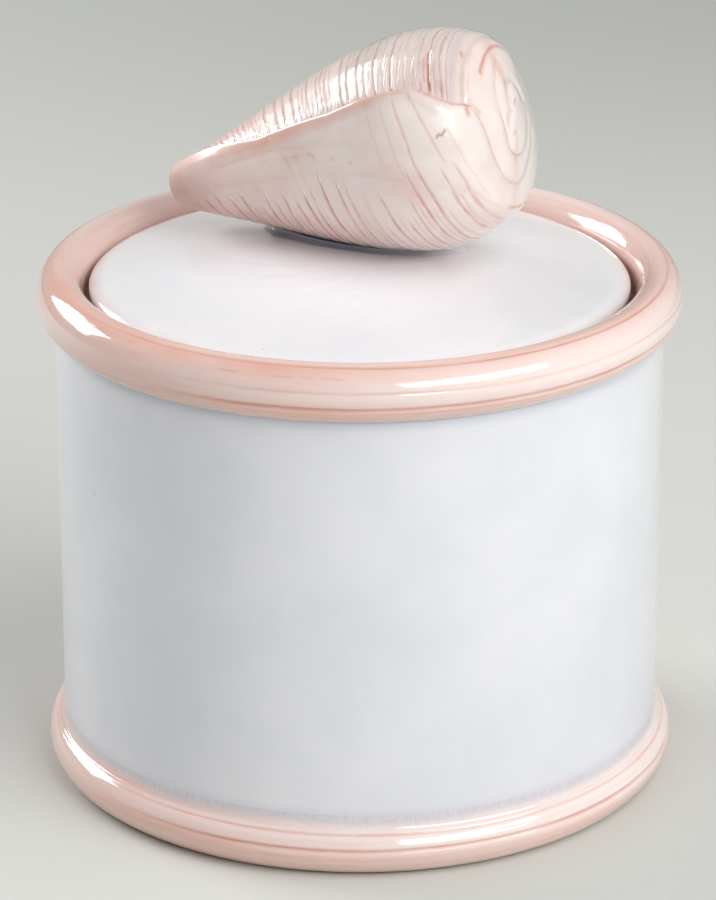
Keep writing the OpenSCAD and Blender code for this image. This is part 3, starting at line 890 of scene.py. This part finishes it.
# Lines of the spire's whorls, which are strokes too, and the hollow that each one lies in
whorls = [
    ("stain", 0.32, 0.42, 0.45,
     [(0.966, 156), (0.973, 167), (0.976, 180), (0.976, 195), (0.974, 209), (0.972, 222), (0.968, 236),
      (0.966, 249)]),
    ("lilac", 0.4, 0.8, 0.4,
     [(0.966, 249), (0.965, 264), (0.967, 275), (0.972, 286), (0.975, 300), (0.978, 320)]),
    ("stain", 0.3, 0.3, 0.4, [(0.9775, 75), (0.986, 99), (0.9895, 124), (0.992, 147), (0.993, 171)]),
    ("stain", 0.32, 0.55, 0.45,
     [(0.993, 171), (0.9928, 190), (0.993, 196), (0.991, 218), (0.986, 239), (0.984, 257), (0.984, 272)]),
    ("lilac", 0.4, 0.8, 0.35, [(0.984, 272), (0.985, 290), (0.9865, 310), (0.987, 332)]),
    ("lilac", 0.32, 0.7, 0.4,
     [(0.988, 10), (0.988, 28), (0.989, 49), (0.992, 70), (0.997, 95), (0.998, 122), (0.999, 149), (0.998, 185),
      (0.995, 214)]),
]
hollow = ("blush", 1.5, 0.15, 0.3)
# Soft patches of pink: place, angle, reach along the shell and round it in mm, strength
patches = [
    (0.785, 192, 4.5, 4.5, 0.35), (0.77, 183, 5, 0.7, 0.2), (0.81, 200, 3, 3, 0.25), (0.984, 80, 1.6, 4, 0.8),
    (0.984, 255, 1.8, 4, 0.7), (0.955, 120, 3, 14, 0.3), (0.965, 80, 2.5, 9, 0.4), (0.5, 168, 6, 1.8, 0.25),
    (0.965, 230, 1.5, 10, 0.25), (0.9, 240, 5, 6, 0.35), (0.28, 215, 14, 3, 0.3), (0.55, 225, 20, 6, 0.35),
    (0.03, 175, 4, 9, 0.55),
]


def outlinePoint(station, outline):
    # A smooth curve through the outline's stations
    i = min(int(station), len(outline) - 2)
    x = station - i
    near = (outline[max(0, min(len(outline) - 1, i + k))] for k in (-1, 0, 1, 2))
    return tuple(b + (c - a) / 2 * x + (a - 2.5 * b + 2 * c - d / 2) * x * x
                 + (1.5 * (b - c) + (d - a) / 2) * x ** 3 for a, b, c, d in zip(*near))


def shellRings(settings):
    # Stations at even gaps along the outline, with the direction that stands out from it
    outline, length, belly = settings["outline"], settings["length"], settings["belly"]
    samples, travelled, before, fineness = [], 0.0, None, 200
    for k in range(fineness * (len(outline) - 1) + 1):
        station = k / fineness
        x, r = outlinePoint(station, outline)
        here = Vector((x * length, r * belly))
        if before is not None:
            travelled += (here - before).length
        before = here
        samples.append((travelled, station, x, r))
    count = int(travelled / settings["ringGap"])
    rings, k = [], 0
    for n in range(1, count):
        target = travelled * n / count
        while samples[k + 1][0] < target:
            k += 1
        share = (target - samples[k][0]) / (samples[k + 1][0] - samples[k][0])
        rings.append(tuple(a + (b - a) * share for a, b in zip(samples[k][1:], samples[k + 1][1:])))
    outward, near = [], settings["slopeRings"]
    for n in range(len(rings)):
        low, high = rings[max(0, n - near)], rings[min(len(rings) - 1, n + near)]
        outward.append(Vector((-(high[2] - low[2]) * belly, (high[1] - low[1]) * length)).normalized())
    return rings, outward


def growthAt(turn, share, settings):
    return 1 + share * settings["growth"] * (ease(turn / settings["growthEnd"]) - 0.5)


def cutGrooves(rings, settings):
    # Depth and stain of every groove, ring by ring and column by column
    places = [ring[1] for ring in rings]
    length, columns = settings["length"], settings["columns"]
    groove, front, upper = settings["groove"], settings["front"], settings["upper"]
    depth = [[0.0] * (columns + 1) for _ in rings]
    stain = [[0.0] * (columns + 1) for _ in rings]
    reach = groove["haloWidth"] * 2 / length

    def cut(column, place, strength, colour, width=1.0):
        first = bisect_left(places, place - reach)
        last = bisect_left(places, place + reach)
        for ring in range(first, last):
            off = (places[ring] - place) * length
            depth[ring][column] += groove["depth"] * strength * bump(off, groove["width"] * width)
            tint = colour * (bump(off, groove["stainWidth"] * width)
                             + groove["halo"] * bump(off, groove["haloWidth"]))
            stain[ring][column] = max(stain[ring][column], tint)

    def cutFront(column, angle, number, place, start, strength):
        early, late = front["starts"]
        if angle < start + early:
            return
        fadeIn = between(angle, start + early, start + late)
        low, high = front["ends"]
        shift = front["endShift"] * wander(number, 4)
        fadeOut = 1 - between(angle, low + shift, high + shift)
        slope = (angle - front["leanFrom"]) * readTable(place, front["lean"])
        if place > front["broadPlace"]:
            slope += front["broadLean"] * min(0.0, angle - front["broadLeanTo"])
        wobble = front["wobble"] / length * wander(angle / front["wobblePitch"], number)
        uneven = groove["force"] + groove["uneven"] * wander(angle / front["forcePitch"], number + 40)
        force = strength * fadeIn * fadeOut * uneven
        if force > groove["leastForce"]:
            width = front["width"] + front["widening"] * between(angle, start, start + front["wideAfter"])
            cut(column, place + slope + wobble, force, front["stain"] * force, width)

    def cutUpper(column, angle):
        # The ribs between the grooves are flat plates, each a little tilted
        middles = []
        low, high = upper["ends"]
        for number, (place, strength) in enumerate(upperGrooves):
            shift = upper["endShift"] * wander(number, 8)
            fadeOut = between(angle, low + shift, high + shift)
            lean = readTable(place, upper["lean"])
            slope = -lean * (upper["leanFrom"] - max(angle, upper["leanTo"]))
            wobble = upper["wobble"] / length * wander(angle / upper["wobblePitch"], number + 20)
            middles.append(place + slope + wobble)
            uneven = groove["force"] + groove["uneven"] * wander(angle / upper["forcePitch"], number + 60)
            force = fadeOut * strength * uneven
            if force > groove["leastForce"]:
                width = upper["width"] + upper["widthWaves"] * wander(number * 1.7, 5)
                cut(column, middles[-1], force, upper["stain"] * force, width)
        fade = between(angle, low, high)
        for number in range(len(middles) - 1):
            first = bisect_left(places, middles[number])
            last = bisect_left(places, middles[number + 1])
            tilt = (upper["tilt"] * wander(number * 2.3, 31)
                    + upper["unevenTilt"] * wander(angle / 6, number + 9))
            for ring in range(first, last):
                x = 2 * (ring - first) / max(1, last - first) - 1
                turns = places[ring] * length / upper["finePitch"]
                fine = math.sin(2 * math.pi * turns + wander(angle / 9, number))
                depth[ring][column] -= fade * (tilt * x * 0.5 + upper["swell"] * (1 - x * x)
                                               + upper["fine"] * fine)

    for column in range(columns + 1):
        turn = column / columns
        for number, (place, start, strength) in enumerate(frontGrooves):
            angle = readTable(place, settings["lipAngles"]) - 360 * turn + 360
            cutFront(column, angle, number, place, start, strength)
            if number + 1 < len(frontGrooves):
                after = frontGrooves[number + 1][0]
                share = front["finePlace"] + front["finePlaceShift"] * wander(number * 3.1, 2)
                fineStart = front["fineStart"] + front["fineStartShift"] * wander(number, 6)
                cutFront(column, angle, number + 50, place + (after - place) * share, fineStart,
                         front["fineStrength"])
        cutUpper(column, readTable(upper["lipPlace"], settings["lipAngles"]) - 360 * turn)
    return depth, stain


def makeShell(settings):
    rings, outward = shellRings(settings)
    places = [ring[1] for ring in rings]
    depth, stain = cutGrooves(rings, settings)
    length, belly, columns = settings["length"], settings["belly"], settings["columns"]
    turn, rise = math.radians(settings["turn"]), math.radians(settings["rise"])
    axis = Vector((math.cos(rise) * math.cos(turn), -math.cos(rise) * math.sin(turn), math.sin(rise)))
    back = Vector((math.sin(turn), math.cos(turn), 0.0))
    upward = axis.cross(back)
    points, normals = [], []
    marks = settings["masks"]
    masks = {name: [] for name in ("stain", "blush", "hairs", "lilac", "brownStainAndShade", "dull")}

    def blushAt(place, angle, fromLip, onFlap):
        # How pink the wash is at one place: at the tip, along the lip and in patches
        pink = (marks["wash"] + marks["narrowWash"] * (1 - between(place, *marks["narrowEnds"]))
                + marks["tipWash"] * bump(place, marks["tipReach"])
                + marks["spireWash"] * between(place, *marks["spireEnds"]))
        if onFlap:
            pink += readTable(place, marks["lipWash"]) * bump(fromLip, readTable(place, marks["lipReach"]))
            pink += marks["flapWash"] * between(place, *marks["flapEnds"])
        for spotPlace, spotAngle, along, across, strength in patches:
            off = (place - spotPlace) * length / (along * mm)
            if abs(off) < 2:
                away = math.radians(signed(angle - spotAngle)) * belly * marks["patchRadius"] / (across * mm)
                if abs(away) < 2:
                    pink += strength * bump(math.hypot(off, away), 1.0)
        return max(0.0, min(1.0, pink))

    def dullAt(place, fromLip, onFlap):
        # How dull the glaze is: at the tip, in a band below the lip, and over the back away from the lip
        tipDull = 1 - between(place, *marks["tipDullEnds"])
        if onFlap:
            middle, width = marks["dullBand"]
            lipDull = marks["lipDull"] * bump(fromLip - middle, width) * between(place, *marks["lipDullStart"])
            return max(tipDull, lipDull * (1 - between(place, *marks["lipDullEnd"])))
        waves = marks["gloss"] + marks["glossWaves"] * wander(place * marks["glossPace"], 77)
        reach = readTable(place, marks["glossReach"]) * waves
        backDull = marks["backDull"] * between(fromLip, reach, reach + marks["backDullFade"])
        return max(tipDull, backDull * (1 - between(place, *marks["backDullEnd"])))

    def addPoint(number, angle, radius, lift, tint, fromLip, onFlap):
        place = rings[number][1]
        spin = math.radians(angle)
        across = back * math.cos(spin) + upward * math.sin(spin)
        normal = axis * outward[number].x + across * outward[number].y
        points.append(across * radius + axis * (length * place) + normal * lift)
        normals.append(normal)
        if onFlap:
            middle, width = marks["stainBand"]
            tint = max(tint, readTable(place, marks["lipStain"]) * bump(fromLip - middle, width))
        masks["stain"].append(min(1.0, tint))
        masks["blush"].append(blushAt(place, angle, fromLip, onFlap))
        masks["hairs"].append(0.0 if onFlap else marks["hairs"] * (1 - between(place, *marks["hairEnds"])))
        # A lilac-grey tint over the upper side, partly the glaze's own tone and partly painted shade
        masks["lilac"].append(0.0 if onFlap else marks["lilac"] * (1 - between(place, *marks["lilacShadeEnds"])))
        # Painted shade: the tip is darkened brown
        masks["brownStainAndShade"].append(marks["tipShade"] * (1 - between(place, *marks["tipShadeEnds"])))
        masks["dull"].append(dullAt(place, fromLip, onFlap))

    def lipSize(number):
        station, place, share = rings[number]
        grow = 1 - between(station, *settings["stepEnds"])
        radius = belly * share
        inside, outside = radius * growthAt(0, grow, settings), radius * growthAt(1, grow, settings)
        step = outside - inside
        lipRound = min(readTable(place, settings["lipRounds"]), settings["lipShare"] * step)
        fillet = min(settings["lipFillet"], settings["filletShare"] * step)
        return grow, radius, inside, outside, lipRound, fillet

    steps, least = settings["lipSteps"], settings["leastGap"]
    perRing = columns + 1 + 3 * steps
    for number, place in enumerate(places):
        grow, radius, inside, outside, lipRound, fillet = lipSize(number)
        lipAngle = readTable(place, settings["lipAngles"])
        wide, foot = max(lipRound, least), max(fillet, least) + least
        firstTurn, lastTurn = foot / (2 * math.pi * radius), 1 - wide / (2 * math.pi * radius)
        for column in range(columns + 1):
            at = firstTurn + (lastTurn - firstTurn) * column / columns
            angle = lipAngle - 360 * at
            fromLip = min(at, 1 - at) * 2 * math.pi * radius
            addPoint(number, angle, radius * growthAt(at, grow, settings), -depth[number][column],
                     stain[number][column], fromLip, at > 0.5)
        # The lip's rounded edge, the wall below it, and the fillet at the foot of the wall
        for k in range(1, steps + 1):
            bend = math.pi / 2 * k / steps
            addPoint(number, lipAngle + math.degrees(wide * (1 - math.sin(bend)) / radius),
                     outside - lipRound * (1 - math.cos(bend)), -depth[number][columns] * (1 - k / steps),
                     0.0, 0.0, True)
        top, bottom = outside - lipRound, inside + fillet
        for k in range(1, steps + 1):
            part = k / (steps + 1)
            addPoint(number, lipAngle - math.degrees(least * part / radius), top + (bottom - top) * part,
                     0.0, marks["wallStain"] * grow, 0.0, False)
        for k in range(1, steps + 1):
            bend = math.pi / 2 * k / (steps + 1)
            addPoint(number, lipAngle - math.degrees((least + (foot - least) * (1 - math.cos(bend))) / radius),
                     inside + fillet * (1 - math.sin(bend)), 0.0, marks["filletStain"] * grow, 0.0, False)

    # The single strokes, laid on the points near them
    cut = [0.0] * len(points)
    finder = KDTree(len(points))
    for number, point in enumerate(points):
        finder.insert(point, number)
    finder.balance()

    def strokePoint(place, angle):
        grow, radius = lipSize(min(len(rings) - 1, bisect_left(places, place)))[:2]
        spin = math.radians(angle)
        at = ((readTable(place, settings["lipAngles"]) - angle) % 360) / 360
        across = back * math.cos(spin) + upward * math.sin(spin)
        return across * (radius * growthAt(at, grow, settings)) + axis * (length * place)

    for mask, width, strength, deep, course in strokes + whorls + [(*hollow, whorl[-1]) for whorl in whorls]:
        width, deep = width * mm, deep * mm
        for (place0, angle0), (place1, angle1) in zip(course, course[1:]):
            run = (strokePoint(place1, angle1) - strokePoint(place0, angle0)).length
            count = 2 + int(run / (settings["strokeGap"] * width))
            for k in range(count + 1):
                spot = strokePoint(place0 + (place1 - place0) * k / count, angle0 + (angle1 - angle0) * k / count)
                for _, number, far in finder.find_range(spot, settings["strokeReach"] * width):
                    amount = bump(far, width)
                    masks[mask][number] = max(masks[mask][number], strength * amount)
                    cut[number] = max(cut[number], deep * amount, key=abs)
    points = [point - normal * deep for point, normal, deep in zip(points, normals, cut)]

    # Both ends are closed by one point
    points += [Vector((0.0, 0.0, 0.0)), axis * length]
    for values in masks.values():
        values += [values[0], values[-1]]
    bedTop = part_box("finial_bed")[1][2]
    lowest = min(point.z for point in points)
    middle = axis * (length / 2)
    shift = Vector((settings["middle"][0] - middle.x, settings["middle"][1] - middle.y,
                    bedTop - settings["bellyCut"] - lowest))
    placed = [(point.x + shift.x, point.y + shift.y, max(point.z + shift.z, bedTop - settings["sink"]))
              for point in points]
    faces, tip, end = [], len(placed) - 2, len(placed) - 1
    lastRing = (len(rings) - 1) * perRing
    for column in range(perRing):
        after = (column + 1) % perRing
        faces.append((tip, after, column))
        for here in range(0, lastRing, perRing):
            there = here + perRing
            faces.append((here + column, here + after, there + after, there + column))
        faces.append((end, lastRing + column, lastRing + after))
    piece = buildPiece("shellCarved", placed, faces, materials["shell"], list(masks.items()), 80.0)
    spots = []
    for point in points:
        spots += [point.dot(axis), math.atan2(point.dot(upward), point.dot(back)) * belly, 0.0]
    place = piece.data.attributes.new("shellPlace", "FLOAT_VECTOR", "POINT")
    place.data.foreach_set("vector", spots)
    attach(piece, "lid")
    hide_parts("shell_finial")
    print("shell made:", len(placed), "points")


makeShell(shellSettings)

# Bed of slip and glaze under the shell: its foot on the lid, along and across the shell, from the middle
bedSettings = {
    "outline": [(-24.6, 4.2), (-23.6, 0.8), (-18.6, -4.8), (-13.2, -7.1), (-8.2, -8.8), (-1.8, -10.4), (4, -11),
                (9.6, -11), (13.7, -10.6), (18.5, -9.2), (22.2, -7.9), (25.6, -6.2), (28.7, -3.8), (31.5, -0.5),
                (32.9, 2), (33.6, 5), (33, 8), (30.5, 10.5), (26, 11.5), (19, 11), (9, 10), (0, 9), (-10, 8.4),
                (-18, 7.8), (-23, 6.8)],
    "middle": (-4.3 * mm, 12.9 * mm), "between": 8, "steps": 8, "slope": 2.6 * mm, "rings": (0.5, 0.8, 0.93),
    "waves": 0.12 * mm, "sunk": 0.1 * mm, "edgePower": 8,
}


def makeBed(settings):
    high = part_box("finial_bed")[1]
    crown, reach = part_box("lid_disc")[1][2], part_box("lid_disc")[1][0]
    turn = math.radians(shellSettings["turn"])
    along = Vector((math.cos(turn), -math.sin(turn)))
    across = Vector((math.sin(turn), math.cos(turn)))
    middle = Vector(settings["middle"])
    corners = settings["outline"]
    looped = [corners[-1]] + corners + corners[:2]
    outline = []
    for number in range(len(corners)):
        for part in range(settings["between"]):
            x, y = outlinePoint(number + 1 + part / settings["between"], looped)
            outline.append((along * x + across * y) * mm)

    def onLid(spot):
        return crown - lidSettings["rise"] * (spot.length / reach) ** 2

    points, faces, creviceShades = [], [], []
    steps, rings, around = settings["steps"], settings["rings"], len(outline)
    for number, spot in enumerate(outline):
        tangent = outline[(number + 1) % around] - outline[number - 1]
        outward = Vector((tangent.y, -tangent.x)).normalized()
        foot = spot + outward * (settings["waves"] * wander(number / 9, 6))
        top = foot - outward * settings["slope"]
        for share in rings:
            inner = middle + top * share
            points.append((inner.x, inner.y, high[2]))
            creviceShades.append(1.0)
        for k in range(steps + 1):
            bend = math.pi / 2 * k / steps
            here = middle + top + (foot - top) * (1 - math.cos(bend))
            ground = onLid(here) - settings["sunk"]
            points.append((here.x, here.y, ground + (high[2] - ground) * (1 - math.sin(bend))))
            # Painted shade: full in the crevice under the shell, falling to nothing at the bed's foot
            creviceShades.append(1 - math.sin(bend) ** settings["edgePower"])
    count = len(rings) + steps + 1
    for step in range(around):
        here, there = step * count, (step + 1) % around * count
        for k in range(count - 1):
            faces.append((here + k, here + k + 1, there + k + 1, there + k))
    faces.append(tuple(step * count for step in range(around)))
    faces.append(tuple(step * count + count - 1 for step in reversed(range(around))))
    piece = buildPiece("glazeBed", points, faces, materials["bed"], [("creviceShade", creviceShades)])
    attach(piece, "lid")
    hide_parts("finial_bed")


makeBed(bedSettings)
print("bed made")

# The pieces that keep their solids get the glaze of their neighbours
for node, key in (("jar_floor", "wall"), ("lid_ledge", "clay"), ("lid_flange", "lid")):
    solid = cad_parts[node]
    solid.data.materials.clear()
    solid.data.materials.append(materials[key])

# Floor, lamps and the light of the room
stageSettings = {
    "size": 3.0, "near": (208, 208, 202), "far": (183, 184, 178), "fade": (0.2, 0.8),
    "roughness": 0.9, "shine": 0.1,
    "room": (0.93, 0.95, 1.0, 1.0), "roomLight": 0.375, "wallSeen": (184, 186, 180),
}
# Area lamps: where they stand round the jar and above the floor, in degrees, and whether reflections show them
lampAim = Vector((0.0, 0.0, 0.09))
lamps = {
    "keyPanel": {"around": 42.0, "up": 29.5, "away": 1.6, "size": (1.45, 0.45), "power": 15.3, "mirrored": True},
    "sidePanel": {
        "around": -125.0, "up": 22.5, "away": 1.6, "size": (0.92, 0.59), "power": 17.1, "mirrored": True,
    },
    "topPanel": {"around": 55.0, "up": 55.0, "away": 1.8, "size": (1.4, 1.2), "power": 11.6, "mirrored": False},
}


def makeStage(settings):
    size = settings["size"]
    mesh = bpy.data.meshes.new("studioFloor")
    mesh.from_pydata([(-size, -size, 0), (size, -size, 0), (size, size, 0), (-size, size, 0)], [], [(0, 1, 2, 3)])
    floor = bpy.data.objects.new("studioFloor", mesh)
    scene.collection.objects.link(floor)
    material = bpy.data.materials.new("paperFloor")
    material.use_nodes = True
    tree = material.node_tree
    shader = tree.nodes["Principled BSDF"]
    away = axisOf(tree, addNode(tree, "ShaderNodeTexCoord").outputs["Object"], 1)
    # Painted shade: the floor is darker towards the back, where less light falls
    colour = blendColour(tree, spread(tree, away, *settings["fade"]), settings["near"], settings["far"])
    plug(tree, colour, shader.inputs["Base Color"])
    shader.inputs["Roughness"].default_value = settings["roughness"]
    shader.inputs["Specular IOR Level"].default_value = settings["shine"]
    mesh.materials.append(material)
    world = bpy.data.worlds.new("room")
    world.use_nodes = True
    tree = world.node_tree
    light = tree.nodes["Background"]
    light.inputs[0].default_value, light.inputs[1].default_value = settings["room"], settings["roomLight"]
    seen = addNode(tree, "ShaderNodeBackground")
    seen.inputs[0].default_value = glazeColour(*settings["wallSeen"])
    path = addNode(tree, "ShaderNodeLightPath").outputs
    # The camera and reflections see the wall, and everything else gets the light of the room
    share = calc(tree, "MAXIMUM", path["Is Camera Ray"], path["Is Glossy Ray"])
    share = calc(tree, "MAXIMUM", share, path["Is Transmission Ray"])
    mix = addNode(tree, "ShaderNodeMixShader")
    for source, target in zip((share, light.outputs[0], seen.outputs[0]), mix.inputs):
        plug(tree, source, target)
    plug(tree, mix.outputs[0], tree.nodes["World Output"].inputs[0])
    scene.world = world


def makeLamp(name, settings):
    data = bpy.data.lights.new(name, "AREA")
    data.shape = "RECTANGLE"
    data.size, data.size_y = settings["size"]
    data.energy = settings["power"]
    lamp = bpy.data.objects.new(name, data)
    around, up = math.radians(settings["around"]), math.radians(settings["up"])
    direction = Vector((math.sin(around) * math.cos(up), -math.cos(around) * math.cos(up), math.sin(up)))
    lamp.location = lampAim + direction * settings["away"]
    lamp.visible_glossy = settings["mirrored"]
    lamp.rotation_euler = direction.to_track_quat("Z", "Y").to_euler()
    scene.collection.objects.link(lamp)


makeStage(stageSettings)
for lampName, lampSettings in lamps.items():
    makeLamp(lampName, lampSettings)
scene.view_settings.view_transform = "Standard"
print("stage made")
